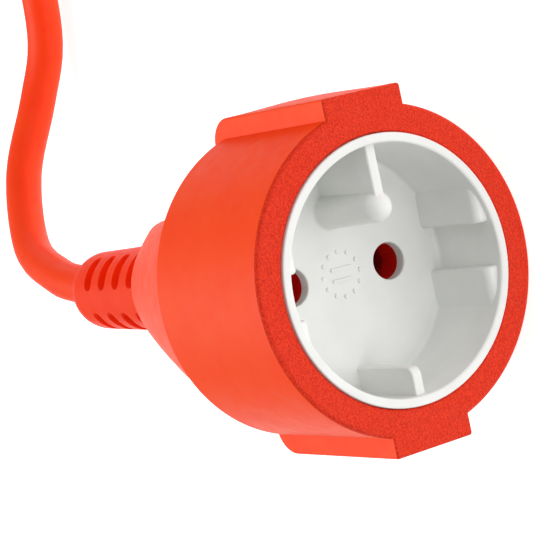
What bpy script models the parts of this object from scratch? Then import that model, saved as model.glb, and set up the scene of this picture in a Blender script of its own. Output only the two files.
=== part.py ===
"""Two-pole extension lead: a portable socket, its cord, the stored coil and the plug.

The socket lies on its drum with its pin line upright. World +Y runs along the socket towards
the cord, +X runs through the lugs, and the origin is on the floor under the socket's middle.
Each connector has an axis empty: its local +Z points out of the face that the pins cross, and
depth is measured from that face towards the cord.
"""
import math

import bmesh
import bpy
from mathutils import Matrix, Vector

MM = 0.001
CLEARANCE = 0.3 * MM
OVERRUN = 1.0 * MM

# Contact system, shared by the socket and the plug
PIN_PITCH = 19.0 * MM
PIN_RADIUS = 2.4 * MM
PIN_LENGTH = 19.0 * MM

# Cord
CORD_RADIUS = 3.7 * MM
CORE_RADIUS = 1.5 * MM
STRAND_RADIUS = 0.9 * MM
CORE_SPACING = 3.7 * MM

# Socket insert
RECESS_RADIUS = 19.5 * MM
RECESS_DEPTH = 15.5 * MM
INSERT_WALL = 1.5 * MM
INSERT_FLOOR = 2.0 * MM
RIM_PROUD = 0.3 * MM
PIN_HOLE_RADIUS = 3.0 * MM
PILLAR_OFFSET = 10.0 * MM
PILLAR_TIP_RADIUS = 2.45 * MM
PILLAR_BASE_RADIUS = 2.75 * MM
WEB_THICKNESS = 1.8 * MM
WEB_SETBACK = 0.8 * MM
RIB_REACH = 4.5 * MM
RIB_SETBACK = 1.0 * MM
GUIDE_RISE = 2.4 * MM
GUIDE_GAP = 7.0 * MM
GUIDE_SETBACK = 0.7 * MM
EDGE_ROUND = 1.4 * MM

# Socket body
BODY_WALL = 4.3 * MM
DRUM_LENGTH = 29.7 * MM
DRUM_FILLET_DEPTH = 0.5 * MM
DRUM_FILLET_DROP = 0.5 * MM
LUG_WIDTH = 14.8 * MM
LUG_RISE = 2.2 * MM
LUG_LENGTH = 32.8 * MM
LUG_ROOT_DEPTH = 2.8 * MM
LUG_REAR_ROUND = 4.6 * MM
HUB_LENGTH = 40.3 * MM
HUB_END_RADIUS = 8.0 * MM
HUB_FLAT_WIDTH = 25.2 * MM
HUB_BULGE = 0.85

# Contact carrier inside the socket
CARRIER_RADIUS = 16.0 * MM
CARRIER_HALF_WIDTH = 10.9 * MM
CARRIER_LENGTH = 20.2 * MM
COVER_THICKNESS = 3.6 * MM
CONTACT_BORE_RADIUS = 4.5 * MM
PIN_ENTRY_RADIUS = 3.2 * MM
PIN_ENTRY_LENGTH = 4.2 * MM
BASE_THICKNESS = 3.4 * MM
JAW_OPENING = 4.4 * MM
JAW_THICKNESS = 0.6 * MM
JAW_WIDTH = 2.6 * MM
JAW_BEAD_RADIUS = 0.5 * MM
JAW_BEAD_OVERHANG = 0.4 * MM
JAW_ROOT_SPREAD = 0.25 * MM
JAW_MOUTH_FLARE = 0.2 * MM
BARREL_RADIUS = 2.0 * MM
BARREL_BORE_RADIUS = 1.2 * MM
BARREL_GRIP = 6.0 * MM
CONTACT_BARREL_REACH = 4.0 * MM
PIN_BARREL_LENGTH = 8.0 * MM
CORE_RUN = 14.0 * MM
SHEATH_BORE_LEAD = 6.0 * MM

# Strain reliefs
RELIEF_ROOT_RADIUS = 7.9 * MM
RELIEF_TIP_RADIUS = 7.3 * MM
RELIEF_LENGTH = 27.0 * MM
PLUG_RELIEF_LENGTH = 30.0 * MM
RELIEF_SLOTS = 4
RELIEF_SLOT_PITCH = 5.6 * MM
RELIEF_SLOT_WIDTH = 2.8 * MM
RELIEF_SLOT_FLOOR = 5.4 * MM
RELIEF_SPINE = 3.4 * MM
RELIEF_LIP = 0.3 * MM
RELIEF_TIP_SOLID = 7.9 * MM

# Plug
PLUG_RADIUS = 17.5 * MM
PLUG_FACE_LENGTH = 13.0 * MM
PLUG_LENGTH = 46.0 * MM
PLUG_WAIST_RADIUS = 12.0 * MM
WAIST_SHARE = 0.45
GRIP_SHARE = 0.75
PLUG_END_RADIUS = 8.2 * MM
PLUG_NOTCH_WIDTH = 6.8 * MM
PLUG_NOTCH_FLOOR = 7.0 * MM
PLUG_NOTCH_LENGTH = 18.0 * MM
PLUG_SIDE_GAP = 0.4 * MM
BRIDGE_HALF_WIDTH = 5.2 * MM
BRIDGE_THICKNESS = 4.0 * MM
BRIDGE_CORNER_SHARE = 0.8
COLLAR_RADIUS = 3.5 * MM
COLLAR_THICKNESS = 1.5 * MM

# Stored coil, its tie and the plug's place, with y measured from where the cord leaves the socket
COIL_PLACE = (140.0 * MM, -23.65 * MM)
COIL_TURN_RADIUS = 61.0 * MM
COIL_END_GAP = 0.7 * MM
PLUG_EXIT_PLACE = (157.3 * MM, -108.45 * MM)
TURN_GAP = 0.1 * MM
COIL_COLUMNS = 4
COIL_LAYERS = 4
COIL_CORNER_SHARE = 0.6
TIE_THICKNESS = 0.8 * MM
TIE_WIDTH = 14.0 * MM

# Worked out from the sizes above
PIN_OFFSET = PIN_PITCH / 2
INSERT_RADIUS = RECESS_RADIUS + INSERT_WALL
INSERT_BACK = RECESS_DEPTH + INSERT_FLOOR
BODY_BORE_RADIUS = INSERT_RADIUS + CLEARANCE
DRUM_RADIUS = BODY_BORE_RADIUS + BODY_WALL
LUG_REACH = DRUM_RADIUS + LUG_RISE
GUIDE_FACE = RECESS_RADIUS - GUIDE_RISE
CARRIER_FRONT = INSERT_BACK + CLEARANCE
CARRIER_BACK = CARRIER_FRONT + CARRIER_LENGTH
ENTRY_BACK = CARRIER_FRONT + PIN_ENTRY_LENGTH
BASE_BACK = CARRIER_BACK - CLEARANCE
BASE_FRONT = BASE_BACK - BASE_THICKNESS
JAW_ROOT = BASE_FRONT - CLEARANCE - JAW_BEAD_RADIUS
COVER_FRONT = CARRIER_BACK + CLEARANCE
COVER_BACK = COVER_FRONT + COVER_THICKNESS
BODY_BORE_END = COVER_BACK + CLEARANCE
HUB_END = DRUM_LENGTH + HUB_LENGTH
RELIEF_START = HUB_END + CLEARANCE
RELIEF_END = RELIEF_START + RELIEF_LENGTH
PIN_COLLAR_FRONT = BRIDGE_THICKNESS + CLEARANCE
PIN_COLLAR_BACK = PIN_COLLAR_FRONT + COLLAR_THICKNESS
BRIDGE_HALF_LENGTH = PIN_OFFSET + BRIDGE_HALF_WIDTH
BRIDGE_CORNER = BRIDGE_HALF_WIDTH * BRIDGE_CORNER_SHARE
CHANNEL_RADIUS = CORE_RADIUS + CLEARANCE
SHEATH_BORE_RADIUS = CORD_RADIUS + CLEARANCE
SOCKET_MIDDLE = (RELIEF_END - RIM_PROUD) / 2
CORD_EXIT_Y = RELIEF_END - SOCKET_MIDDLE
PLUG_HEIGHT = math.sqrt(PLUG_RADIUS**2 - (PLUG_NOTCH_WIDTH / 2) ** 2)
TURN_PITCH = 2 * CORD_RADIUS + TURN_GAP
COIL_SECTION_HALF = CORD_RADIUS + CLEARANCE
COIL_OUTER = COIL_TURN_RADIUS + COIL_SECTION_HALF
COIL_MEETING = math.sqrt((COIL_OUTER + CORD_RADIUS + COIL_END_GAP) ** 2 - COIL_TURN_RADIUS**2)
COIL_TOP_TURN = (COIL_LAYERS - 1) * TURN_PITCH + CORD_RADIUS + CLEARANCE

# The cord's route, with y measured from where it leaves the socket: onto the floor and to the
# coil, then from the coil to the plug
COIL_X, COIL_Y = COIL_PLACE
PLUG_X, PLUG_Y = PLUG_EXIT_PLACE
LOW = CORD_RADIUS + 1.0 * MM
ROUTE_OUT = (
    (1.0 * MM, 1.8 * MM, DRUM_RADIUS),
    (1.6 * MM, 6.7 * MM, DRUM_RADIUS),
    (3.6 * MM, 16.0 * MM, DRUM_RADIUS - 0.3 * MM),
    (9.6 * MM, 29.9 * MM, 0.89 * DRUM_RADIUS),
    (23.9 * MM, 41.3 * MM, 0.6 * DRUM_RADIUS),
    (38.0 * MM, 42.5 * MM, LOW + 3.3 * MM),
    (49.7 * MM, 39.6 * MM, LOW),
    (65.4 * MM, COIL_Y + COIL_TURN_RADIUS, LOW),
    (85.0 * MM, COIL_Y + COIL_TURN_RADIUS, LOW),
    (COIL_X - COIL_MEETING, COIL_Y + COIL_TURN_RADIUS, LOW),
)
ROUTE_IN = (
    (COIL_X + COIL_TURN_RADIUS, COIL_Y - COIL_MEETING, COIL_TOP_TURN),
    (198.8 * MM, -73.0 * MM, 22.2 * MM),
    (190.0 * MM, -90.5 * MM, 16.4 * MM),
    (177.0 * MM, -103.0 * MM, 14.6 * MM),
    (PLUG_X + 2.0 * MM, PLUG_Y, PLUG_HEIGHT - 0.2 * MM),
)

ROUND_STEPS = 64
SMALL_STEPS = 24
BEAD_STEPS = 16
COIL_STEPS = 48
POINT_SPACING = 16.0 * MM
CORE_POINTS = 10
FINE_STEPS = 12
ARC_STEPS = 4
TIP_STEPS = 5
HUB_STEPS = 8

for old in list(bpy.data.objects):
    bpy.data.objects.remove(old, do_unlink=True)


def new_collection(name):
    group = bpy.data.collections.new(name)
    bpy.context.scene.collection.children.link(group)
    return group


PARTS = new_collection("extension_lead")
CUTTERS = new_collection("cutters")


def finish(name, colour, roughness, metallic=0.0):
    """A Principled material in one colour."""
    made = bpy.data.materials.new(name)
    made.use_nodes = True
    shader = made.node_tree.nodes["Principled BSDF"]
    shader.inputs["Base Color"].default_value = (*colour, 1.0)
    shader.inputs["Roughness"].default_value = roughness
    shader.inputs["Metallic"].default_value = metallic
    return made


ORANGE = finish("orange_pvc", (0.93, 0.09, 0.02), 0.45)
PALE = finish("pale_insert", (0.78, 0.79, 0.78), 0.35)
RED = finish("red_carrier", (0.45, 0.02, 0.01), 0.4)
BRASS = finish("nickelled_brass", (0.78, 0.74, 0.62), 0.25, 1.0)
COPPER = finish("copper_strand", (0.80, 0.42, 0.26), 0.35, 1.0)
BROWN = finish("brown_core", (0.20, 0.08, 0.03), 0.45)
BLUE = finish("blue_core", (0.03, 0.10, 0.45), 0.45)
BLACK = finish("black_tie", (0.03, 0.03, 0.03), 0.7)


def axis_empty(name, location, rotation):
    empty = bpy.data.objects.new(name, None)
    empty.location = location
    empty.rotation_euler = rotation
    PARTS.objects.link(empty)
    return empty


def add(name, data, parent, look=None):
    """A part when it has a look, and a hidden cutter when it has none."""
    obj = bpy.data.objects.new(name, data)
    obj.parent = parent
    if look:
        data.materials.append(look)
        PARTS.objects.link(obj)
    else:
        obj.hide_render = True
        obj.display_type = "WIRE"
        CUTTERS.objects.link(obj)
    return obj


def turned(name, profile, parent, look=None, ring=False, steps=ROUND_STEPS, centre=(0.0, 0.0)):
    """A profile of (radius, depth), front to back down its outer side, turned about the axis."""
    mesh = bpy.data.meshes.new(name)
    edges = [(i, i + 1) for i in range(len(profile) - 1)]
    if ring:
        edges.append((len(profile) - 1, 0))
    mesh.from_pydata([(radius, 0.0, -depth) for radius, depth in profile], edges, [])
    obj = add(name, mesh, parent, look)
    obj.location = (*centre, 0.0)
    screw = obj.modifiers.new("Turned", "SCREW")
    screw.steps = steps
    screw.render_steps = steps
    screw.use_merge_vertices = True
    screw.merge_threshold = 0.00001
    return obj


def rod(name, radius, front, back, parent, look=None, centre=(0.0, 0.0), steps=SMALL_STEPS):
    profile = [(0.0, front), (radius, front), (radius, back), (0.0, back)]
    return turned(name, profile, parent, look, steps=steps, centre=centre)


def cube_between(bm, low, high):
    """A box between two corners given as (x, y, depth)."""
    size = [b - a for a, b in zip(low, high)]
    middle = [(a + b) / 2 for a, b in zip(low, high)]
    place = Matrix.Translation((middle[0], middle[1], -middle[2]))
    return bmesh.ops.create_cube(bm, size=1.0, matrix=place @ Matrix.Diagonal((*size, 1.0)))


def boxes(name, corners, parent, look=None, rounding=None):
    """One object of boxes. rounding is (width, test of an edge's middle and direction)."""
    bm = bmesh.new()
    for low, high in corners:
        cube_between(bm, low, high)
    if rounding:
        width, test = rounding
        picked = []
        for edge in bm.edges:
            start, end = (v.co for v in edge.verts)
            if test((start + end) / 2, (end - start).normalized()):
                picked.append(edge)
        bmesh.ops.bevel(bm, geom=picked, offset=width, segments=3, profile=0.5, affect="EDGES")
    mesh = bpy.data.meshes.new(name)
    bm.to_mesh(mesh)
    bm.free()
    return add(name, mesh, parent, look)


def join_or_cut(target, tool, operation):
    modifier = target.modifiers.new(tool.name, "BOOLEAN")
    modifier.operation = operation
    modifier.solver = "EXACT"
    modifier.object = tool
    return modifier


def tube(name, points, radius, parent, look, resolution=2):
    """A round tube along straight-jointed points."""
    curve = bpy.data.curves.new(name, "CURVE")
    curve.dimensions = "3D"
    curve.bevel_depth = radius
    curve.bevel_resolution = resolution
    curve.use_fill_caps = True
    spline = curve.splines.new("POLY")
    spline.points.add(len(points) - 1)
    for point, place in zip(spline.points, points):
        point.co = (*place, 1.0)
    return add(name, curve, parent, look)


def tube_cutter(name, points, radius, parent):
    """The same tube as a closed mesh, which a Boolean can use."""
    curve_object = tube(name + "_guide", points, radius, parent, None)
    bpy.context.view_layer.update()
    evaluated = curve_object.evaluated_get(bpy.context.evaluated_depsgraph_get())
    mesh = bpy.data.meshes.new_from_object(evaluated)
    bm = bmesh.new()
    bm.from_mesh(mesh)
    bmesh.ops.remove_doubles(bm, verts=bm.verts, dist=0.00001)
    bmesh.ops.recalc_face_normals(bm, faces=bm.faces)
    bm.to_mesh(mesh)
    bm.free()
    bpy.data.objects.remove(curve_object, do_unlink=True)
    return add(name, mesh, parent)


def smooth_points(route, spacing):
    """Evenly spaced points on a Catmull-Rom curve through a route measured from the cord's exit."""
    knots = [Vector(place) + Vector((0.0, CORD_EXIT_Y, 0.0)) for place in route]
    knots = [2 * knots[0] - knots[1], *knots, 2 * knots[-1] - knots[-2]]
    fine = []
    for a, b, c, d in zip(knots, knots[1:], knots[2:], knots[3:]):
        for step in range(FINE_STEPS):
            t = step / FINE_STEPS
            fine.append(
                0.5 * (2 * b + (c - a) * t + (2 * a - 5 * b + 4 * c - d) * t**2
                       + (3 * b - a - 3 * c + d) * t**3)
            )
    fine.append(knots[-2])
    travelled = [0.0]
    for a, b in zip(fine, fine[1:]):
        travelled.append(travelled[-1] + (b - a).length)
    count = max(2, round(travelled[-1] / spacing))
    points = []
    segment = 0
    for i in range(count + 1):
        wanted = travelled[-1] * i / count
        while segment < len(fine) - 2 and travelled[segment + 1] < wanted:
            segment += 1
        share = (wanted - travelled[segment]) / (travelled[segment + 1] - travelled[segment])
        points.append(fine[segment].lerp(fine[segment + 1], share))
    return points


def core_path(side, start, end):
    """A core's S-bend from its contact's line to its place in the sheath."""
    outer = side * PIN_OFFSET
    inner = side * CORE_SPACING / 2
    points = []
    for i in range(CORE_POINTS):
        share = i / (CORE_POINTS - 1)
        swing = 0.5 * (1 + math.cos(math.pi * share))
        points.append((0.0, inner + (outer - inner) * swing, -(start + (end - start) * share)))
    return points


def bored_barrel(front, back):
    """The inner half of a crimp barrel's profile, from its mouth in to its floor."""
    floor = back - BARREL_GRIP
    return [(BARREL_RADIUS, back), (BARREL_BORE_RADIUS, back), (BARREL_BORE_RADIUS, floor), (0.0, floor)]


def wire_in(prefix, axis, body, barrel_back, seat):
    """The cores, strands and sheath behind two crimp barrels, and the body's channels for them.

    seat is the radius, front and back of the wider space in front of each barrel's pocket.
    """
    core_start = barrel_back + 2 * CLEARANCE
    core_end = core_start + CORE_RUN
    sheath_start = core_end + CLEARANCE
    bore_start = core_end - SHEATH_BORE_LEAD
    for side, pole, look in ((1, "live", BROWN), (-1, "neutral", BLUE)):
        line = (0.0, side * PIN_OFFSET)
        strand_front = barrel_back - BARREL_GRIP + CLEARANCE
        rod(f"{prefix}_{pole}_strand", STRAND_RADIUS, strand_front, barrel_back + CLEARANCE,
            axis, COPPER, line, 12)
        tube(f"{prefix}_{pole}_core", core_path(side, core_start, core_end), CORE_RADIUS, axis, look)
        channel = tube_cutter(f"{prefix}_{pole}_channel", core_path(side, core_start, core_end),
                              CHANNEL_RADIUS, axis)
        join_or_cut(body, channel, "DIFFERENCE")
        radius, front, back = seat
        pocket = turned(f"{prefix}_{pole}_pocket", [
            (0.0, front),
            (radius, front),
            (radius, back),
            (BARREL_RADIUS + CLEARANCE, back),
            (BARREL_RADIUS + CLEARANCE, core_start + CLEARANCE),
            (0.0, core_start + CLEARANCE),
        ], axis, steps=SMALL_STEPS, centre=line)
        join_or_cut(body, pocket, "DIFFERENCE")
    return bore_start, sheath_start


def strain_relief(prefix, axis, start, end, sheath_start):
    """A slotted sleeve with a round tip, and the sheathed end of the cord inside it."""
    round_off = RELIEF_TIP_RADIUS - SHEATH_BORE_RADIUS
    profile = [(RELIEF_ROOT_RADIUS, start), (RELIEF_TIP_RADIUS, end - 2 * round_off)]
    for i in range(1, TIP_STEPS + 1):
        angle = math.pi / 2 * i / TIP_STEPS
        radius = SHEATH_BORE_RADIUS + round_off * math.cos(angle)
        profile.append((max(radius, SHEATH_BORE_RADIUS + RELIEF_LIP),
                        end - 2 * round_off * (1 - math.sin(angle))))
    profile += [(SHEATH_BORE_RADIUS, end), (SHEATH_BORE_RADIUS, start)]
    relief = turned(f"{prefix}_strain_relief", profile, axis, ORANGE, ring=True, steps=32)
    first = end - RELIEF_TIP_SOLID - RELIEF_SLOT_WIDTH - (RELIEF_SLOTS - 1) * RELIEF_SLOT_PITCH
    slots = []
    for row in (-1, 1):
        for side in (-1, 1):
            for i in range(RELIEF_SLOTS):
                front = first + i * RELIEF_SLOT_PITCH
                x = sorted((row * RELIEF_SPINE / 2, row * 2 * RELIEF_ROOT_RADIUS))
                y = sorted((side * RELIEF_SPINE / 2, side * 2 * RELIEF_ROOT_RADIUS))
                slots.append(((x[0], y[0], front), (x[1], y[1], front + RELIEF_SLOT_WIDTH)))
    cutter = boxes(f"{prefix}_relief_slots", slots, axis)
    core = rod(f"{prefix}_relief_slot_core", RELIEF_SLOT_FLOOR, start - OVERRUN, end + OVERRUN,
               axis, None, steps=32)
    join_or_cut(cutter, core, "DIFFERENCE")
    join_or_cut(relief, cutter, "DIFFERENCE")
    rod(f"{prefix}_sheath_tail", CORD_RADIUS, sheath_start, end - CLEARANCE, axis, ORANGE, steps=16)


def socket_insert(axis):
    """The pale cup: floor, rim, pillar and web, lower rib and the guide blocks."""
    profile = [
        (0.0, RECESS_DEPTH),
        (RECESS_RADIUS, RECESS_DEPTH),
        (RECESS_RADIUS, -RIM_PROUD),
        (INSERT_RADIUS, -RIM_PROUD),
        (INSERT_RADIUS, INSERT_BACK),
        (0.0, INSERT_BACK),
    ]
    insert = turned("socket_insert", profile, axis, PALE)
    buried = RECESS_DEPTH + INSERT_FLOOR / 2
    wall_middle = RECESS_RADIUS + INSERT_WALL / 2

    web = boxes("web_shape", [((PILLAR_OFFSET, -WEB_THICKNESS / 2, WEB_SETBACK),
                               (wall_middle, WEB_THICKNESS / 2, buried))], axis)
    rib = boxes("rib_shape", [((-wall_middle, -WEB_THICKNESS / 2, RIB_SETBACK),
                               (RIB_REACH - RECESS_RADIUS, WEB_THICKNESS / 2, buried))], axis, None,
                (EDGE_ROUND, lambda middle, way: abs(way.y) > 0.9 and middle.x > -RECESS_RADIUS
                 and middle.z > -RECESS_DEPTH / 2))
    guides = []
    for x_side in (-1, 1):
        for y_side in (-1, 1):
            x = sorted((x_side * GUIDE_GAP / 2, x_side * RECESS_RADIUS))
            y = sorted((y_side * GUIDE_FACE, y_side * INSERT_RADIUS))
            guides.append(((x[0], y[0], GUIDE_SETBACK), (x[1], y[1], buried)))
    guide = boxes("guide_shape", guides, axis, None,
                  (EDGE_ROUND, lambda middle, way: abs(way.x) > 0.9
                   and abs(middle.y) < GUIDE_FACE + CLEARANCE and middle.z > -RECESS_DEPTH / 2))
    guide_limit = rod("guide_limit", wall_middle, -OVERRUN, INSERT_BACK, axis, None, steps=ROUND_STEPS)
    join_or_cut(guide, guide_limit, "INTERSECT")

    tip = [(0.0, 0.0)]
    for i in range(1, TIP_STEPS + 1):
        angle = math.pi / 2 * i / TIP_STEPS
        tip.append((PILLAR_TIP_RADIUS * math.sin(angle), PILLAR_TIP_RADIUS * (1 - math.cos(angle))))
    pillar = turned("pillar_shape", [*tip, (PILLAR_BASE_RADIUS, buried), (0.0, buried)], axis,
                    steps=20, centre=(PILLAR_OFFSET, 0.0))
    for shape in (pillar, web, rib, guide):
        join_or_cut(insert, shape, "UNION")
    for side in (-1, 1):
        hole = rod(f"pin_hole_{side}", PIN_HOLE_RADIUS, RECESS_DEPTH - OVERRUN, INSERT_BACK + OVERRUN,
                   axis, None, (0.0, side * PIN_OFFSET))
        join_or_cut(insert, hole, "DIFFERENCE")


def beyond(name, half_width, front, back, axis):
    """Two boxes that leave only what lies within half_width of the pin plane."""
    far = 2 * DRUM_RADIUS
    return boxes(name, [((half_width, -far, front), (far, far, back)),
                        ((-far, -far, front), (-half_width, far, back))], axis)


def socket_body(axis):
    """The moulded drum with its two lugs and the flattened hub that the cord comes out of."""
    shoulder = DRUM_RADIUS - DRUM_FILLET_DROP
    profile = [(0.0, -OVERRUN), (DRUM_RADIUS, -OVERRUN), (DRUM_RADIUS, DRUM_LENGTH - DRUM_FILLET_DEPTH)]
    for i in range(1, ARC_STEPS + 1):
        angle = math.pi / 2 * i / ARC_STEPS
        profile.append((shoulder + DRUM_FILLET_DROP * math.cos(angle),
                        DRUM_LENGTH - DRUM_FILLET_DEPTH * (1 - math.sin(angle))))
    for i in range(1, HUB_STEPS + 1):
        share = i / HUB_STEPS
        swell = (1 - share) ** HUB_BULGE
        profile.append((HUB_END_RADIUS + (shoulder - HUB_END_RADIUS) * swell,
                        DRUM_LENGTH + HUB_LENGTH * share))
    profile.append((0.0, HUB_END))
    body = turned("socket_body", profile, axis, ORANGE)

    flats = beyond("hub_flats", HUB_FLAT_WIDTH / 2, DRUM_LENGTH + CLEARANCE, HUB_END + OVERRUN, axis)
    join_or_cut(body, flats, "DIFFERENCE")

    corners = []
    for side in (-1, 1):
        x = sorted((side * (DRUM_RADIUS - LUG_ROOT_DEPTH), side * LUG_REACH))
        corners.append(((x[0], -LUG_WIDTH / 2, -OVERRUN / 2), (x[1], LUG_WIDTH / 2, LUG_LENGTH)))
    lugs = boxes("lug_shape", corners, axis, None,
                 (LUG_REAR_ROUND, lambda middle, way: abs(way.y) > 0.9
                  and abs(middle.x) > DRUM_RADIUS and middle.z < -DRUM_LENGTH / 2))
    join_or_cut(body, lugs, "UNION")
    far = 2 * DRUM_RADIUS
    trim = boxes("face_trim", [((-far, -far, -2 * OVERRUN), (far, far, 0.0))], axis)
    join_or_cut(body, trim, "DIFFERENCE")

    bore = rod("insert_space", BODY_BORE_RADIUS, -2 * OVERRUN, CARRIER_FRONT, axis, steps=ROUND_STEPS)
    join_or_cut(body, bore, "DIFFERENCE")
    front = CARRIER_FRONT - OVERRUN
    space = rod("carrier_space", CARRIER_RADIUS + CLEARANCE, front, BODY_BORE_END, axis,
                steps=ROUND_STEPS)
    sides = beyond("carrier_space_sides", CARRIER_HALF_WIDTH + CLEARANCE, front - OVERRUN,
                   BODY_BORE_END + OVERRUN, axis)
    join_or_cut(space, sides, "DIFFERENCE")
    join_or_cut(body, space, "DIFFERENCE")
    return body


def contact_carrier(axis):
    """The inner moulding with a bore for each contact, and the cover that closes it."""
    carrier = rod("contact_carrier", CARRIER_RADIUS, CARRIER_FRONT, CARRIER_BACK, axis, RED,
                  steps=ROUND_STEPS)
    cover = rod("carrier_back_cover", CARRIER_RADIUS, COVER_FRONT, COVER_BACK, axis, RED,
                steps=ROUND_STEPS)
    sides = beyond("carrier_sides", CARRIER_HALF_WIDTH, CARRIER_FRONT - OVERRUN,
                   COVER_BACK + OVERRUN, axis)
    join_or_cut(carrier, sides, "DIFFERENCE")
    join_or_cut(cover, sides, "DIFFERENCE")
    for side in (-1, 1):
        line = (0.0, side * PIN_OFFSET)
        bore = turned(f"contact_bore_{side}", [
            (0.0, CARRIER_FRONT - OVERRUN),
            (PIN_ENTRY_RADIUS, CARRIER_FRONT - OVERRUN),
            (PIN_ENTRY_RADIUS, ENTRY_BACK),
            (CONTACT_BORE_RADIUS, ENTRY_BACK),
            (CONTACT_BORE_RADIUS, CARRIER_BACK + OVERRUN),
            (0.0, CARRIER_BACK + OVERRUN),
        ], axis, steps=SMALL_STEPS, centre=line)
        join_or_cut(carrier, bore, "DIFFERENCE")
        hole = rod(f"cover_hole_{side}", BARREL_RADIUS + CLEARANCE, COVER_FRONT - OVERRUN,
                   COVER_BACK + OVERRUN, axis, None, line)
        join_or_cut(cover, hole, "DIFFERENCE")


def contact_jaw(name, axis, x_side, y_side):
    """A sprung leaf with a rolled bead at its root. Its origin is on the bead's axis."""
    root = JAW_OPENING / 2 + JAW_THICKNESS / 2 + JAW_ROOT_SPREAD
    length = JAW_ROOT - ENTRY_BACK - 2 * CLEARANCE
    path = [(0.0, 0.0), (0.0, 0.22), (-JAW_ROOT_SPREAD, 0.66), (-JAW_ROOT_SPREAD, 0.80),
            (JAW_MOUTH_FLARE, 1.0)]
    bm = bmesh.new()
    line = [bm.verts.new((x_side * x, -JAW_WIDTH / 2, length * share)) for x, share in path]
    edges = [bm.edges.new(pair) for pair in zip(line, line[1:])]
    grown = bmesh.ops.extrude_edge_only(bm, edges=edges)
    moved = [v for v in grown["geom"] if isinstance(v, bmesh.types.BMVert)]
    bmesh.ops.translate(bm, verts=moved, vec=(0.0, JAW_WIDTH, 0.0))
    mesh = bpy.data.meshes.new(name)
    bm.to_mesh(mesh)
    bm.free()
    jaw = add(name, mesh, axis, BRASS)
    jaw.location = (x_side * root, y_side * PIN_OFFSET, -JAW_ROOT)
    leaf = jaw.modifiers.new("Leaf", "SOLIDIFY")
    leaf.thickness = JAW_THICKNESS
    leaf.offset = 0.0
    bm = bmesh.new()
    bmesh.ops.create_cone(bm, cap_ends=True, segments=BEAD_STEPS, radius1=JAW_BEAD_RADIUS,
                          radius2=JAW_BEAD_RADIUS, depth=JAW_WIDTH + JAW_BEAD_OVERHANG,
                          matrix=Matrix.Rotation(math.pi / 2, 4, "X"))
    bead_mesh = bpy.data.meshes.new(f"{name}_bead")
    bm.to_mesh(bead_mesh)
    bm.free()
    bead = add(f"{name}_bead", bead_mesh, jaw)
    join_or_cut(jaw, bead, "UNION")


def contacts(axis):
    """Two contacts: a base with its crimp barrel, and a pair of jaws that grip the pin."""
    barrel_back = COVER_BACK + CONTACT_BARREL_REACH
    for y_side, pole in ((1, "live"), (-1, "neutral")):
        base_radius = CONTACT_BORE_RADIUS - CLEARANCE
        profile = [(0.0, BASE_FRONT), (base_radius, BASE_FRONT), (base_radius, BASE_BACK),
                   (BARREL_RADIUS, BASE_BACK), *bored_barrel(BASE_BACK, barrel_back)]
        turned(f"{pole}_contact_base", profile, axis, BRASS, steps=SMALL_STEPS,
               centre=(0.0, y_side * PIN_OFFSET))
        for x_side, place in ((1, "right"), (-1, "left")):
            contact_jaw(f"{pole}_jaw_{place}", axis, x_side, y_side)
    return barrel_back


def sheath_bore(name, body, axis, start, end):
    bore = rod(name, SHEATH_BORE_RADIUS, start, end + OVERRUN, axis, None, steps=32)
    join_or_cut(body, bore, "DIFFERENCE")


def build_socket():
    axis = axis_empty("socket_axis", (0.0, -SOCKET_MIDDLE, DRUM_RADIUS), (math.pi / 2, 0.0, 0.0))
    body = socket_body(axis)
    socket_insert(axis)
    contact_carrier(axis)
    barrel_back = contacts(axis)
    seat = (BARREL_RADIUS + 2 * CLEARANCE, BODY_BORE_END - OVERRUN, BODY_BORE_END + CLEARANCE)
    bore_start, sheath_start = wire_in("socket", axis, body, barrel_back, seat)
    sheath_bore("socket_sheath_bore", body, axis, bore_start, HUB_END)
    strain_relief("socket", axis, RELIEF_START, RELIEF_END, sheath_start)


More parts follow.
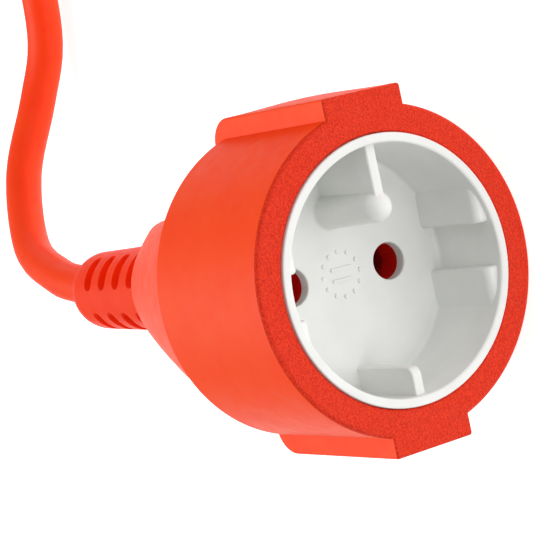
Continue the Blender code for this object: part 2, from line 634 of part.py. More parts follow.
def plug_body(axis):
    """A grip-shaped moulding with notches that pass the socket's pillar and rib."""
    neck = PLUG_LENGTH - PLUG_FACE_LENGTH
    profile = [(0.0, 0.0), (PLUG_RADIUS - EDGE_ROUND / 2, 0.0), (PLUG_RADIUS, EDGE_ROUND / 2),
               (PLUG_RADIUS, PLUG_FACE_LENGTH)]
    for i in range(1, ARC_STEPS + 1):
        share = i / ARC_STEPS
        drop = (PLUG_RADIUS - PLUG_WAIST_RADIUS) * 0.5 * (1 - math.cos(math.pi * share))
        profile.append((PLUG_RADIUS - drop, PLUG_FACE_LENGTH + neck * WAIST_SHARE * share))
    profile.append((PLUG_WAIST_RADIUS, PLUG_FACE_LENGTH + neck * GRIP_SHARE))
    for i in range(1, ARC_STEPS + 1):
        angle = math.pi / 2 * i / ARC_STEPS
        radius = PLUG_END_RADIUS + (PLUG_WAIST_RADIUS - PLUG_END_RADIUS) * math.cos(angle)
        reach = GRIP_SHARE + (1 - GRIP_SHARE) * math.sin(angle)
        profile.append((radius, PLUG_FACE_LENGTH + neck * reach))
    profile.append((0.0, PLUG_LENGTH))
    body = turned("plug_body", profile, axis, ORANGE, steps=48)
    far = 2 * PLUG_RADIUS
    side_face = GUIDE_FACE - PLUG_SIDE_GAP
    cuts = []
    for side in (-1, 1):
        x = sorted((side * PLUG_NOTCH_FLOOR, side * far))
        cuts.append(((x[0], -PLUG_NOTCH_WIDTH / 2, -OVERRUN),
                     (x[1], PLUG_NOTCH_WIDTH / 2, PLUG_NOTCH_LENGTH)))
        y = sorted((side * side_face, side * far))
        cuts.append(((-GUIDE_FACE, y[0], -OVERRUN), (GUIDE_FACE, y[1], PLUG_NOTCH_LENGTH)))
    join_or_cut(body, boxes("plug_notches", cuts, axis), "DIFFERENCE")
    half_width = BRIDGE_HALF_WIDTH + CLEARANCE
    half_length = BRIDGE_HALF_LENGTH + CLEARANCE
    pocket = boxes("bridge_pocket", [((-half_width, -half_length, -OVERRUN),
                                      (half_width, half_length, BRIDGE_THICKNESS + CLEARANCE))],
                   axis, None, (BRIDGE_CORNER, lambda middle, way: abs(way.z) > 0.9))
    join_or_cut(body, pocket, "DIFFERENCE")
    return body


def plug_pins(axis):
    """The bridge that sits in the plug's face, and the two solid pins it holds."""
    bridge = boxes("plug_bridge", [((-BRIDGE_HALF_WIDTH, -BRIDGE_HALF_LENGTH, -RIM_PROUD),
                                    (BRIDGE_HALF_WIDTH, BRIDGE_HALF_LENGTH, BRIDGE_THICKNESS))],
                   axis, PALE, (BRIDGE_CORNER, lambda middle, way: abs(way.z) > 0.9))
    barrel_back = PIN_COLLAR_BACK + PIN_BARREL_LENGTH
    for side, pole in ((1, "live"), (-1, "neutral")):
        line = (0.0, side * PIN_OFFSET)
        hole = rod(f"bridge_hole_{side}", PIN_RADIUS + CLEARANCE, -OVERRUN, BRIDGE_THICKNESS + OVERRUN,
                   axis, None, line)
        join_or_cut(bridge, hole, "DIFFERENCE")
        profile = [(0.0, -PIN_LENGTH)]
        for i in range(1, ARC_STEPS + 1):
            angle = math.pi / 2 * i / ARC_STEPS
            profile.append((PIN_RADIUS * math.sin(angle), -PIN_LENGTH + PIN_RADIUS * (1 - math.cos(angle))))
        profile += [(PIN_RADIUS, PIN_COLLAR_FRONT), (COLLAR_RADIUS, PIN_COLLAR_FRONT),
                    (COLLAR_RADIUS, PIN_COLLAR_BACK), (BARREL_RADIUS, PIN_COLLAR_BACK),
                    *bored_barrel(PIN_COLLAR_BACK, barrel_back)]
        turned(f"plug_{pole}_pin", profile, axis, BRASS, steps=SMALL_STEPS, centre=line)
    return barrel_back


def build_plug():
    start = PLUG_LENGTH + CLEARANCE
    place = (PLUG_X - start - PLUG_RELIEF_LENGTH, CORD_EXIT_Y + PLUG_Y, PLUG_HEIGHT)
    axis = axis_empty("plug_axis", place, (0.0, -math.pi / 2, 0.0))
    body = plug_body(axis)
    barrel_back = plug_pins(axis)
    seat = (COLLAR_RADIUS + CLEARANCE, BRIDGE_THICKNESS, PIN_COLLAR_BACK + CLEARANCE)
    bore_start, sheath_start = wire_in("plug", axis, body, barrel_back, seat)
    sheath_bore("plug_sheath_bore", body, axis, bore_start, PLUG_LENGTH)
    strain_relief("plug", axis, start, start + PLUG_RELIEF_LENGTH, sheath_start)


def build_cord():
    """The open runs of cord, the coil's outer shape and the tie round it."""
    tube("cord_run", smooth_points(ROUTE_OUT, POINT_SPACING), CORD_RADIUS, None, ORANGE, 4)
    tube("cord_tail", smooth_points(ROUTE_IN, POINT_SPACING), CORD_RADIUS, None, ORANGE, 4)

    base = TIE_THICKNESS + CLEARANCE
    outer = COIL_OUTER
    inner = COIL_TURN_RADIUS - (COIL_COLUMNS - 1) * TURN_PITCH - COIL_SECTION_HALF
    height = (COIL_LAYERS - 1) * TURN_PITCH + 2 * COIL_SECTION_HALF
    corner = COIL_SECTION_HALF * COIL_CORNER_SHARE
    axis = axis_empty("coil_axis", (COIL_X, CORD_EXIT_Y + COIL_Y, base), (0.0, 0.0, 0.0))
    turned("cord_coil", [
        (inner + corner, -height), (outer - corner, -height), (outer, corner - height), (outer, -corner),
        (outer - corner, 0.0), (inner + corner, 0.0), (inner, -corner), (inner, corner - height),
    ], axis, ORANGE, ring=True, steps=COIL_STEPS)

    wrap = TIE_THICKNESS + CLEARANCE
    near = math.sqrt((inner * math.cos(math.pi / COIL_STEPS)) ** 2 - (TIE_WIDTH / 2) ** 2)
    tie = boxes("coil_tie", [((near - wrap, -TIE_WIDTH / 2, -height - wrap),
                              (outer + wrap, TIE_WIDTH / 2, wrap))], axis, BLACK,
                (corner + TIE_THICKNESS, lambda middle, way: abs(way.y) > 0.9))
    window = boxes("tie_window", [((near - CLEARANCE, -TIE_WIDTH, -height - CLEARANCE),
                                   (outer + CLEARANCE, TIE_WIDTH, CLEARANCE))], axis, None,
                   (corner, lambda middle, way: abs(way.y) > 0.9))
    join_or_cut(tie, window, "DIFFERENCE")


build_socket()
build_plug()
build_cord()
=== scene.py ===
"""Looks of the two-pole extension lead: a portable socket, its cord, the stored coil and the plug.

A connector is modelled with its pins' axis along local z: z is 0 at its face and its depth runs
along -z. SOCKET_PLACE and PLUG_PLACE put such a shape where the frame's nodes are.
"""
import math

import bmesh
import bpy
from mathutils import Matrix, Vector


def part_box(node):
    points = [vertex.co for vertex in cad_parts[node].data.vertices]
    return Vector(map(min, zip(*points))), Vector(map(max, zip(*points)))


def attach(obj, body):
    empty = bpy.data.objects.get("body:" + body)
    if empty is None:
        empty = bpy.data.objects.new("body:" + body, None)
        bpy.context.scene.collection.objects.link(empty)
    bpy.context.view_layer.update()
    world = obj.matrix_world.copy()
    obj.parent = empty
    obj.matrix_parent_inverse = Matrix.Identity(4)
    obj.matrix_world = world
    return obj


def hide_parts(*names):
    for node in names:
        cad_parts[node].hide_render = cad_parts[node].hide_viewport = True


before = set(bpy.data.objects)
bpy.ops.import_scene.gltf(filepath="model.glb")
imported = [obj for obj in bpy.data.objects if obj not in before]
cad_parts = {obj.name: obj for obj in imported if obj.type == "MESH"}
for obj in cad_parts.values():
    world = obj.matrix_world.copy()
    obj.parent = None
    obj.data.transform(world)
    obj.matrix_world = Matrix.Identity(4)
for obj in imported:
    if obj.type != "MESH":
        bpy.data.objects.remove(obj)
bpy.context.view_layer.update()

MM = 0.001
BODY = "socket"
POLES = ("live", "neutral")

# ---- Sizes taken from the frame ----
shell_low, shell_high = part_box("socket_body")
insert_low, insert_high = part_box("socket_insert")
relief_low, relief_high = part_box("socket_strain_relief")
cover_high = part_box("carrier_back_cover")[1]
plug_low, plug_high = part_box("plug_body")
plug_relief_low, plug_relief_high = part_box("plug_strain_relief")
bridge_low, bridge_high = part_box("plug_bridge")
pin_low, pin_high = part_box("plug_live_pin")
coil_low, coil_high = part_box("cord_coil")
tie_low, tie_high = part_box("coil_tie")

FACE_Y = shell_low[1]
AXIS_Z = (shell_low[2] + shell_high[2]) / 2
DRUM_RADIUS = (shell_high[2] - shell_low[2]) / 2
LUG_REACH = shell_high[0]
HUB_END = shell_high[1] - FACE_Y
INSERT_RADIUS = (insert_high[2] - insert_low[2]) / 2
INSERT_BACK = insert_high[1] - FACE_Y
RIM_PROUD = FACE_Y - insert_low[1]
COVER_BACK = cover_high[1] - FACE_Y
RELIEF_START = relief_low[1] - FACE_Y
RELIEF_END = relief_high[1] - FACE_Y
PLUG_FACE_X = plug_low[0]
PLUG_LENGTH = plug_high[0] - PLUG_FACE_X
PLUG_RELIEF_START = plug_relief_low[0] - PLUG_FACE_X
PLUG_RELIEF_END = plug_relief_high[0] - PLUG_FACE_X
PLUG_AXIS_Y = (plug_low[1] + plug_high[1]) / 2
PLUG_AXIS_Z = (plug_low[2] + plug_high[2]) / 2
PIN_LENGTH = PLUG_FACE_X - pin_low[0]
PIN_BACK = pin_high[0] - PLUG_FACE_X
BRIDGE_BACK = bridge_high[0] - PLUG_FACE_X
BRIDGE_HALF_WIDTH = (bridge_high[2] - bridge_low[2]) / 2
BRIDGE_HALF_LENGTH = (bridge_high[1] - bridge_low[1]) / 2

SOCKET_PLACE = Matrix.Translation((0.0, FACE_Y, AXIS_Z)) @ Matrix.Rotation(math.pi / 2, 4, "X")
PLUG_PLACE = (Matrix.Translation((PLUG_FACE_X, PLUG_AXIS_Y, PLUG_AXIS_Z))
              @ Matrix.Rotation(-math.pi / 2, 4, "Y"))

# ---- Sizes of the fine shapes ----
PIN_OFFSET = 9.5 * MM
PIN_RADIUS = 2.4 * MM
CORD_RADIUS = 3.7 * MM
BORE_GAP = 0.1 * MM
RECESS_RADIUS = 19.5 * MM
RECESS_DEPTH = 15.5 * MM
# What stands in the cup reaches this far out into its wall and this deep into its floor.
WALL_BITE = RECESS_RADIUS + 0.7 * MM
FLOOR_BITE = RECESS_DEPTH + 1.0 * MM

DRUM_LENGTH = 29.7 * MM
DRUM_FILLET = 0.45 * MM
DRUM_FACE_ROUND = 0.8 * MM
BORE_CHAMFER = 0.25 * MM
GRAINED_DEPTH = 0.6 * MM
LUG_WIDTH = 14.8 * MM
LUG_LENGTH = 32.8 * MM
LUG_REAR_ROUND = 4.6 * MM
LUG_ROOT = 22.8 * MM
LUG_CROWN = 0.6 * MM
LUG_EDGE_ROUND = 0.5 * MM
HUB_STEP = 0.05 * MM
HUB_END_RADIUS = 8.0 * MM
HUB_END_ROUND = 0.5 * MM
HUB_HALF_WIDTH = 12.6 * MM
HUB_FLAT_SOFTNESS = 1.2 * MM
HUB_BULGE = 0.85
CARRIER_SPACE_RADIUS = 16.3 * MM
CARRIER_SPACE_HALF_WIDTH = 11.2 * MM
CARRIER_SPACE_GAP = 0.2 * MM

CUP_LIP_ROUND = 0.4 * MM
CUP_EDGE_ROUND = 0.25 * MM
CUP_FOOT_ROUND = 0.7 * MM
PILLAR_OFFSET = 10.0 * MM
PILLAR_TIP_RADIUS = 2.45 * MM
PILLAR_BASE_RADIUS = 2.75 * MM
PILLAR_FOOT_ROUND = 0.5 * MM
WEB_THICKNESS = 1.8 * MM
WEB_TOP = 0.8 * MM
WEB_EDGE_ROUND = 0.35 * MM
RIB_REACH = 4.5 * MM
RIB_TOP = 1.0 * MM
RIB_CORNER_ROUND = 1.5 * MM
RIB_EDGE_ROUND = 0.3 * MM
GUIDE_FACE = 17.1 * MM
GUIDE_GAP = 7.0 * MM
GUIDE_TOP = 0.7 * MM
GUIDE_TOP_ROUND = 1.4 * MM
GUIDE_SLOT_ROUND = 0.55 * MM
MARK_RISE = 0.3 * MM
MARK_BAR_OFFSET = 0.9 * MM
MARK_BAR_HALF_WIDTH = 0.25 * MM
MARK_BAR_HALF_LENGTH = 1.9 * MM
MARK_RING_RADIUS = 3.6 * MM
MARK_DOTS = 12
PIN_HOLE_RADIUS = 3.0 * MM
PIN_HOLE_CHAMFER = 0.15 * MM

RELIEF_ROOT_RADIUS = 7.9 * MM
RELIEF_TIP_RADIUS = 7.3 * MM
RELIEF_TIP_ROUND = 5.2 * MM
RELIEF_LIP = 0.5 * MM
RELIEF_BORE_RADIUS = 3.85 * MM
RELIEF_BORE_INSET = 0.3 * MM
RELIEF_TURN = math.radians(6.5)
RELIEF_BEND = 0.2 * MM
RELIEF_BEND_LENGTH = 22.0 * MM
SLOT_FROM_TIP = 9.3 * MM
SLOT_WIDTH = 2.8 * MM
SLOT_PITCH = 5.6 * MM
SLOT_SPAN = math.radians(57.0)
SLOT_FLOOR = 5.3 * MM
SLOT_ROWS = 4
SLOT_RINGS = 4

PLUG_RADIUS = 17.5 * MM
PLUG_FACE_LENGTH = 13.0 * MM
PLUG_FACE_ROUND = 0.7 * MM
PLUG_WAIST_RADIUS = 12.0 * MM
PLUG_WAIST_SHARE = 0.45
PLUG_END_RADIUS = 8.2 * MM
PLUG_END_SHARE = 0.25
PLUG_SIDE = GUIDE_FACE - 0.4 * MM
GRIP_SHARE = 0.3
GRIP_RINGS = 5
GRIP_DIP = 0.45 * MM
NOTCH_WIDTH = 6.8 * MM
NOTCH_FLOOR = 7.0 * MM
NOTCH_LENGTH = 18.0 * MM
NOTCH_CORNER_ROUND = 1.2 * MM
NOTCH_END_ROUND = 0.6 * MM
BRIDGE_ROUND_SHARE = 0.95
BRIDGE_EDGE_ROUND = 0.25 * MM
BRIDGE_ROOM = 0.1 * MM
PIN_HOLE_ROOM = 0.05 * MM
PIN_COLLAR_RADIUS = 3.5 * MM
PIN_COLLAR_LENGTH = 1.5 * MM
PIN_COLLAR_GAP = 0.3 * MM
BARREL_RADIUS = 2.0 * MM
BARREL_BORE_RADIUS = 1.2 * MM
BARREL_BORE_LENGTH = 6.0 * MM

TIE_THICKNESS = 0.8 * MM
TIE_EDGE_ROUND = 0.2 * MM
TIE_CORNER_ROUND = 3.2 * MM

# ---- Cord: points of its two open runs, in millimetres, y from where it leaves the socket ----
CORD_EXIT = (0.0, relief_high[1], AXIS_Z)
RUN_POINTS = (
    (0.0, -16.0, 25.6),
    (0.0, -8.0, 25.6),
    (0.6, -2.0, 25.6),
    (1.0, 1.8, 25.6),
    (1.6, 6.7, 25.6),
    (3.6, 16.0, 25.3),
    (9.6, 29.9, 22.8),
    (23.9, 41.3, 15.4),
    (38.0, 42.5, 8.0),
    (49.7, 39.6, 4.7),
    (65.4, 37.35, 4.7),
    (85.0, 37.35, 4.7),
    (107.0, 37.35, 4.7),
)
TAIL_POINTS = (
    (201.0, -56.7, 26.5),
    (198.8, -73.0, 22.2),
    (190.0, -90.5, 16.4),
    (177.0, -103.0, 14.6),
    (159.3, -108.45, 17.0),
    (147.0, -108.45, 17.17),
)
TURN_PITCH = 7.5 * MM
COIL_COLUMNS = 4
COIL_LAYERS = 4
# The turns lie a gap inside the coil solid's side and a little below its underside.
COIL_GAP = 0.3 * MM
COIL_SINK = 0.1 * MM
STEPS_PER_TURN = 56
# In turns: the way before the first move, from one move to the next where several meet, and in one.
FIRST_MOVE = 0.25
MOVE_LEAD = 0.09
MOVE_SHARE = 0.2
RUN_SPACING = 2.5 * MM


# ---- Mesh helpers ----
def arc(centre, radius, start, end, steps):
    """Points of a (radius, depth) outline on an arc, its angles in degrees from the +radius way."""
    points = []
    for i in range(steps + 1):
        angle = math.radians(start + (end - start) * i / steps)
        points.append((centre[0] + radius * math.cos(angle), centre[1] + radius * math.sin(angle)))
    return points


def spun(profile, steps=128, ring=False):
    """A (radius, depth) outline turned about the pins' axis."""
    bm = bmesh.new()
    line = [bm.verts.new((radius, 0.0, -depth)) for radius, depth in profile]
    edges = [bm.edges.new(pair) for pair in zip(line, line[1:])]
    if ring:
        edges.append(bm.edges.new((line[-1], line[0])))
    bmesh.ops.spin(bm, geom=line + edges, cent=(0.0, 0.0, 0.0), axis=(0.0, 0.0, 1.0),
                   angle=2 * math.pi, steps=steps, use_merge=True)
    bmesh.ops.remove_doubles(bm, verts=bm.verts, dist=1e-6)
    bmesh.ops.recalc_face_normals(bm, faces=bm.faces)
    return bm


def block(low, high):
    """A box between two corners given as (x, y, depth)."""
    middle = [(a + b) / 2 for a, b in zip(low, high)]
    size = [abs(b - a) for a, b in zip(low, high)]
    bm = bmesh.new()
    place = Matrix.Translation((middle[0], middle[1], -middle[2])) @ Matrix.Diagonal((*size, 1.0))
    bmesh.ops.create_cube(bm, size=1.0, matrix=place)
    return bm


def rounded(bm, width, segments, test):
    """Bevels the edges whose middle and direction pass the test."""
    picked = []
    for edge in bm.edges:
        start, end = (vert.co for vert in edge.verts)
        if test((start + end) / 2, (end - start).normalized()):
            picked.append(edge)
    bmesh.ops.bevel(bm, geom=picked, offset=width, segments=segments, profile=0.5,
                    affect="EDGES", material=-1, clamp_overlap=True)
    return bm


def joined(shapes):
    """Several shapes in one."""
    bm = bmesh.new()
    for shape in shapes:
        part = bpy.data.meshes.new("part")
        shape.to_mesh(part)
        shape.free()
        bm.from_mesh(part)
        bpy.data.meshes.remove(part)
    return bm


def piece(name, bm, place=Matrix(), look=None):
    """An object at the origin whose mesh is in its place."""
    bmesh.ops.transform(bm, matrix=place, verts=bm.verts)
    mesh = bpy.data.meshes.new(name)
    bm.to_mesh(mesh)
    bm.free()
    obj = bpy.data.objects.new(name, mesh)
    bpy.context.scene.collection.objects.link(obj)
    if look:
        mesh.materials.append(look)
    return obj


def carved(obj, bm, place, operation="DIFFERENCE"):
    """Cuts a shape out of a piece, or joins it on, and keeps the result as the piece's mesh."""
    tool = piece(obj.name + "_tool", bm, place)
    change = obj.modifiers.new("change", "BOOLEAN")
    change.operation = operation
    change.solver = "EXACT"
    change.object = tool
    bpy.context.view_layer.update()
    made = obj.evaluated_get(bpy.context.evaluated_depsgraph_get())
    mesh = bpy.data.meshes.new_from_object(made)
    obj.modifiers.clear()
    obj.data = mesh
    bpy.data.objects.remove(tool, do_unlink=True)


def smoothed(obj, angle=32.0):
    """Smooth shading that keeps the edges sharper than the angle, with even flat faces."""
    obj.data.shade_smooth()
    obj.data.set_sharp_from_angle(angle=math.radians(angle))
    even = obj.modifiers.new("even_faces", "WEIGHTED_NORMAL")
    even.keep_sharp = True


def settle(obj, slot, *nodes):
    """The piece rides on the body and stands for its CAD nodes; the slot is not used."""
    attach(obj, BODY)
    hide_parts(*nodes)


# ---- Materials ----
def linear(red, green, blue):
    """A colour given as 0 to 255 display values."""
    return tuple((value / 255) ** 2.2 for value in (red, green, blue))


def new_look(name, roughness, metallic=0.0):
    """A new material and its shader."""
    look = bpy.data.materials.new(name)
    look.use_nodes = True
    shader = look.node_tree.nodes["Principled BSDF"]
    shader.inputs["Roughness"].default_value = roughness
    shader.inputs["Metallic"].default_value = metallic
    return look, shader


def node(look, kind):
    """A new shader node of a kind."""
    return look.node_tree.nodes.new("ShaderNode" + kind)


def link(look, source, target):
    """Joins a node's output to an input."""
    look.node_tree.links.new(source, target)


def noise(look, scale, detail=2.0):
    """Noise over the object's own metres; a scale of 1000 has features of about 1 mm."""
    place = node(look, "TexCoord")
    made = node(look, "TexNoise")
    made.inputs["Scale"].default_value = scale
    made.inputs["Detail"].default_value = detail
    link(look, place.outputs["Object"], made.inputs["Vector"])
    return made.outputs["Fac"]


def bands(look, direction, scale, distortion=0.0):
    """Even bands over the object's own metres."""
    place = node(look, "TexCoord")
    made = node(look, "TexWave")
    made.wave_type = "BANDS"
    made.bands_direction = direction
    made.inputs["Scale"].default_value = scale
    made.inputs["Distortion"].default_value = distortion
    link(look, place.outputs["Object"], made.inputs["Vector"])
    return made.outputs["Fac"]


def bumped(look, shader, height, strength, depth):
    """Relief in the shader's normal from a height."""
    bump = node(look, "Bump")
    bump.inputs["Strength"].default_value = strength
    bump.inputs["Distance"].default_value = depth
    link(look, height, bump.inputs["Height"])
    link(look, bump.outputs["Normal"], shader.inputs["Normal"])


def mottled(look, shader, light, dark, scale):
    """The base colour wanders between two colours."""
    ramp = node(look, "ValToRGB")
    ramp.color_ramp.elements[0].position = 0.35
    ramp.color_ramp.elements[1].position = 0.65
    ramp.color_ramp.elements[0].color = (*dark, 1.0)
    ramp.color_ramp.elements[1].color = (*light, 1.0)
    link(look, noise(look, scale, 3.0), ramp.inputs["Fac"])
    link(look, ramp.outputs["Color"], shader.inputs["Base Color"])


def uneven_gloss(look, shader, low, high, scale):
    """The roughness wanders between two values."""
    spread = node(look, "MapRange")
    spread.inputs["From Min"].default_value = 0.3
    spread.inputs["From Max"].default_value = 0.7
    spread.inputs["To Min"].default_value = low
    spread.inputs["To Max"].default_value = high
    link(look, noise(look, scale), spread.inputs["Value"])
    link(look, spread.outputs["Result"], shader.inputs["Roughness"])


def grained(look, shader, scale, strength, depth, detail=2.0):
    """A fine random relief, its scale and depth as noise and bumped take them."""
    bumped(look, shader, noise(look, scale, detail), strength, depth)


def moulded(name, light, dark, gloss, grain, specular=0.5, mottle=160.0):
    """A moulded plastic: mottled colour, uneven gloss and a fine grain."""
    look, shader = new_look(name, gloss[0])
    shader.inputs["Specular IOR Level"].default_value = specular
    mottled(look, shader, light, dark, mottle)
    uneven_gloss(look, shader, gloss[0], gloss[1], 420.0)
    grained(look, shader, *grain)
    return look


def metal(name, light, dark, gloss, grain):
    """Plated metal: mottled colour, uneven gloss and a fine grain."""
    look, shader = new_look(name, gloss[0], 1.0)
    mottled(look, shader, light, dark, 700.0)
    uneven_gloss(look, shader, gloss[0], gloss[1], 1500.0)
    grained(look, shader, *grain)
    return look


def stranded(name, light, dark):
    """Fine bare wires laid side by side, as slanting bands."""
    look, shader = new_look(name, 0.3, 1.0)
    mottled(look, shader, light, dark, 900.0)
    bumped(look, shader, bands(look, "DIAGONAL", 900.0), 0.7, 0.00012)
    return look


def woven(name, light, dark):
    """A woven strap: crossed bands of thread."""
    look, shader = new_look(name, 0.85)
    mottled(look, shader, light, dark, 1200.0)
    both = node(look, "Math")
    both.operation = "MULTIPLY"
    for direction, socket in zip("YZ", both.inputs):
        link(look, bands(look, direction, 380.0, 1.5), socket)
    bumped(look, shader, both.outputs["Value"], 0.8, 0.0002)
    return look


ORANGE_PVC = moulded("orange_pvc", linear(255, 75, 17), linear(254, 70, 14),
                     gloss=(0.46, 0.56), grain=(2600.0, 0.12, 0.00005), specular=0.22)
GRAINED_PVC = moulded("grained_pvc", linear(232, 58, 26), linear(204, 40, 16),
                      gloss=(0.55, 0.68), grain=(2700.0, 1.0, 0.0003, 1.0), specular=0.2,
                      mottle=3200.0)
CORD_SHEATH = moulded("cord_sheath", linear(254, 70, 17), linear(252, 65, 14),
                      gloss=(0.46, 0.56), grain=(1400.0, 0.10, 0.00006), specular=0.22)
RELIEF_PVC = moulded("relief_pvc", linear(252, 62, 12), linear(249, 57, 10),
                     gloss=(0.46, 0.56), grain=(2400.0, 0.12, 0.00005), specular=0.2)
PALE_INSERT = moulded("pale_insert", linear(231, 232, 229), linear(226, 227, 224),
                      gloss=(0.34, 0.44), grain=(2200.0, 0.10, 0.00005), specular=0.4)
RED_CARRIER = moulded("red_carrier", linear(235, 26, 12), linear(220, 21, 10),
                      gloss=(0.35, 0.48), grain=(2000.0, 0.2, 0.00006))
BROWN_CORE = moulded("brown_core", linear(112, 66, 38), linear(98, 56, 32),
                     gloss=(0.38, 0.5), grain=(1800.0, 0.15, 0.00005))
BLUE_CORE = moulded("blue_core", linear(44, 92, 178), linear(36, 80, 160),
                    gloss=(0.38, 0.5), grain=(1800.0, 0.15, 0.00005))
CONTACT_METAL = metal("contact_metal", linear(226, 219, 196), linear(203, 194, 166),
                      gloss=(0.18, 0.30), grain=(3000.0, 0.15, 0.00003))
COPPER_STRAND = stranded("copper_strand", linear(220, 150, 110), linear(190, 120, 84))
TIE_STRAP = woven("coil_tie", linear(52, 52, 54), linear(34, 34, 36))


# ---- Camera and light ----
EYE_FROM_FACE = Vector((31.92, -264.27, 187.84)) * MM
AIM_FROM_FACE = Vector((4.93, 6.17, 18.93)) * MM
CAMERA_ROLL = math.radians(-105.257)
CAMERA_LENS = 144.08


def make_camera():
    """The camera is turned about its line of sight, so that the lugs' line runs up the picture."""
    face_centre = Vector((0.0, FACE_Y, AXIS_Z))
    data = bpy.data.cameras.new("camera")
    data.lens = CAMERA_LENS
    data.sensor_width = 36.0
    data.clip_start = 0.01
    camera = bpy.data.objects.new("camera", data)
    bpy.context.scene.collection.objects.link(camera)
    eye = face_centre + EYE_FROM_FACE
    ahead = (face_centre + AIM_FROM_FACE - eye).normalized()
    level_right = ahead.cross(Vector((0.0, 0.0, 1.0))).normalized()
    level_up = level_right.cross(ahead)
    right = level_right * math.cos(CAMERA_ROLL) + level_up * math.sin(CAMERA_ROLL)
    up = right.cross(ahead)
    turn = Matrix((right, up, -ahead)).transposed().to_4x4()
    camera.matrix_world = Matrix.Translation(eye) @ turn
    bpy.context.scene.camera = camera


def soft_light(name, way, distance, size, power):
    """A square soft box that faces the socket from the given way."""
    data = bpy.data.lights.new(name, "AREA")
    data.size = size
    data.energy = power
    light = bpy.data.objects.new(name, data)
    bpy.context.scene.collection.objects.link(light)
    target = Vector((0.0, 0.0, AXIS_Z))
    away = Vector(way).normalized()
    light.location = target + away * distance
    light.rotation_euler = away.to_track_quat("Z", "Y").to_euler()


def make_light_and_floor():
    """Three soft boxes, an even white sky and a pale floor just under the object."""
    bpy.context.scene.view_settings.view_transform = "Standard"
    world = bpy.data.worlds.new("studio")
    bpy.context.scene.world = world
    world.use_nodes = True
    sky = world.node_tree.nodes["Background"]
    sky.inputs["Color"].default_value = (1.0, 1.0, 1.0, 1.0)
    sky.inputs["Strength"].default_value = 0.3
    soft_light("key", (0.6, -0.7, 0.4), distance=0.9, size=0.5, power=1.4)
    soft_light("front", (-0.15, -1.0, 0.15), distance=1.0, size=0.3, power=2.1)
    soft_light("back", (-0.1, 0.5, 0.85), distance=1.0, size=0.7, power=7.8)

    bm = bmesh.new()
    bmesh.ops.create_grid(bm, x_segments=1, y_segments=1, size=4.0)
    floor_look, shader = new_look("studio_floor", 0.9)
    shader.inputs["Base Color"].default_value = (0.6, 0.6, 0.6, 1.0)
    shader.inputs["Emission Color"].default_value = (1.0, 1.0, 1.0, 1.0)
    shader.inputs["Emission Strength"].default_value = 0.85
    piece("studio_floor", bm, Matrix.Translation((0.0, 0.0, -0.5 * MM)), floor_look)


# ---- Cord ----
def smooth_route(points, spacing):
    """Evenly spaced points on a Catmull-Rom curve through the given ones."""
    knots = [2 * points[0] - points[1], *points, 2 * points[-1] - points[-2]]
    route = []
    for a, b, c, d in zip(knots, knots[1:], knots[2:], knots[3:]):
        steps = max(1, round((c - b).length / spacing))
        for step in range(steps):
            t = step / steps
            route.append(0.5 * (2 * b + (c - a) * t + (2 * a - 5 * b + 4 * c - d) * t**2
                                + (3 * b - a - 3 * c + d) * t**3))
    route.append(knots[-2])
    return route


def coil_moves():
    """The moves from turn to turn as (order, (column, layer)), bottom layer first.

    A layer shifts a column a turn, inwards and outwards by turns, and then climbs. Of the moves
    that meet in one stretch of the coil, those of the upper layers come first, so that each
    makes room for the one below it.
    """
    moves = []
    for layer in range(COIL_LAYERS):
        order = 2 * (COIL_LAYERS - 1 - layer)
        columns = range(1, COIL_COLUMNS) if layer % 2 == 0 else range(COIL_COLUMNS - 2, -1, -1)
        for column in columns:
            moves.append((order, (column, layer)))
        if layer < COIL_LAYERS - 1:
            moves.append((order - 1, (columns[-1], layer + 1)))
    return moves


def coil_route():
    """Points round the coil, from where the run meets it to where the tail leaves it."""
    centre = Vector(((coil_low[0] + coil_high[0]) / 2, (coil_low[1] + coil_high[1]) / 2, 0.0))
    outer = (coil_high[0] - coil_low[0]) / 2 - CORD_RADIUS - COIL_GAP
    low = coil_low[2] + CORD_RADIUS - COIL_SINK
    moves = coil_moves()
    total = len(moves) + FIRST_MOVE
    count = round(total * STEPS_PER_TURN)
    route = []
    for i in range(count + 1):
        way = total * i / count
        place = (0.0, 0.0)
        for turn, (order, goal) in enumerate(moves):
            share = (way - turn - FIRST_MOVE - order * MOVE_LEAD) / MOVE_SHARE
            if share > 0.0:
                swing = 0.5 - 0.5 * math.cos(math.pi * min(share, 1.0))
                place = tuple(a + (b - a) * swing for a, b in zip(place, goal))
        radius = outer - place[0] * TURN_PITCH
        angle = math.pi / 2 - 2 * math.pi * way
        route.append(centre + Vector((radius * math.cos(angle), radius * math.sin(angle),
                                      low + place[1] * TURN_PITCH)))
    return route


def from_exit(points):
    """Places in metres of points given in millimetres, y from the cord's exit."""
    return [Vector((x, y, z)) * MM + Vector((0.0, CORD_EXIT[1], 0.0)) for x, y, z in points]


def make_cord():
    """One line: out of the socket, over the floor, round the coil and into the plug."""
    turns = coil_route()
    run = smooth_route([*from_exit(RUN_POINTS), turns[0]], RUN_SPACING)
    tail = smooth_route([turns[-1], *from_exit(TAIL_POINTS)], RUN_SPACING)
    points = run[:-1] + turns + tail[1:]
    data = bpy.data.curves.new("cord", "CURVE")
    data.dimensions = "3D"
    data.bevel_depth = CORD_RADIUS
    data.bevel_resolution = 8
    data.use_fill_caps = True
    spline = data.splines.new("POLY")
    spline.points.add(len(points) - 1)
    for point, place in zip(spline.points, points):
        point.co = (*place, 1.0)
    cord = bpy.data.objects.new("cord", data)
    bpy.context.scene.collection.objects.link(cord)
    data.materials.append(CORD_SHEATH)
    settle(cord, "cord_sheath", "cord_run", "cord_coil", "cord_tail")
    return cord


